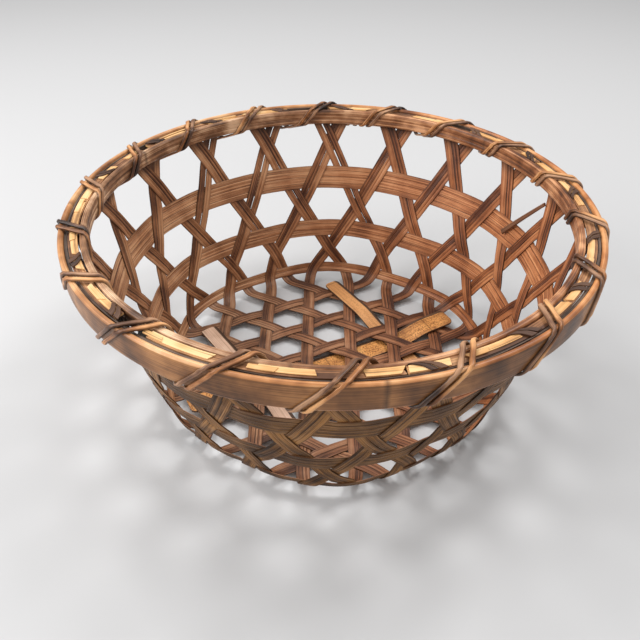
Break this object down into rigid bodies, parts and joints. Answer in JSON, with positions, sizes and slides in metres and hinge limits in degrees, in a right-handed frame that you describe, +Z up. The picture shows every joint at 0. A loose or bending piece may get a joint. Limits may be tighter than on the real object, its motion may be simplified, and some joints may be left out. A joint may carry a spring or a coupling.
{
  "type": "bamboo basket",
  "caption": "Round shallow bamboo basket in open hexagon weave with a flared wall, hoop bands and a double rim bound by a wound lashing, for holding and draining food.",
  "frame": {"origin": "middle of the basket's underside, on the surface that it stands on", "axes": "+Z up out of the mouth, +Y away from the viewer of the picture, along the strips named upright, and +X to the right of the pictured view"},
  "size_m": [0.4532, 0.4538, 0.1923],
  "materials": {
    "strip_bamboo": "split bamboo darkened by age, reddish brown inside and olive tan outside, lengthwise fibres",
    "band_bamboo": "flat split bamboo band, brown with lengthwise grooves",
    "hoop_bamboo": "bent bamboo hoop with its smooth skin outward, olive tan face and orange brown edge",
    "filler_bamboo": "freshly split bamboo, pale golden, lengthwise fibres",
    "lashing_cane": "thin split cane, light orange brown, slightly shiny",
    "slat_bamboo": "split bamboo slat, golden tan with dark edges"
  },
  "bodies": {
    "root": {"strip_upright_1": "strip_bamboo", "strip_upright_2": "strip_bamboo", "strip_upright_3": "strip_bamboo", "strip_upright_4": "strip_bamboo", "strip_upright_5": "strip_bamboo", "strip_upright_6": "strip_bamboo", "strip_falling_1": "strip_bamboo", "strip_falling_2": "strip_bamboo", "strip_falling_3": "strip_bamboo", "strip_falling_4": "strip_bamboo", "strip_falling_5": "strip_bamboo", "strip_falling_6": "strip_bamboo", "strip_rising_1": "strip_bamboo", "strip_rising_2": "strip_bamboo", "strip_rising_3": "strip_bamboo", "strip_rising_4": "strip_bamboo", "strip_rising_5": "strip_bamboo", "strip_rising_6": "strip_bamboo", "band_foot": "band_bamboo", "band_middle": "band_bamboo", "band_upper": "band_bamboo", "hoop_outer": "hoop_bamboo", "hoop_inner": "hoop_bamboo", "rim_lining": "band_bamboo", "rim_filler_1": "filler_bamboo", "rim_filler_2": "filler_bamboo", "rim_filler_3": "filler_bamboo", "rim_filler_4": "filler_bamboo", "rim_filler_5": "filler_bamboo", "rim_filler_6": "filler_bamboo", "rim_filler_7": "filler_bamboo", "rim_filler_8": "filler_bamboo", "rim_filler_9": "filler_bamboo", "rim_filler_10": "filler_bamboo", "rim_filler_11": "filler_bamboo", "rim_filler_12": "filler_bamboo", "lashing_strand_a": "lashing_cane", "lashing_strand_b": "lashing_cane", "slat_main": "slat_bamboo", "slat_side_right": "slat_bamboo", "slat_side_left": "slat_bamboo"}
  },
  "joints": []
}
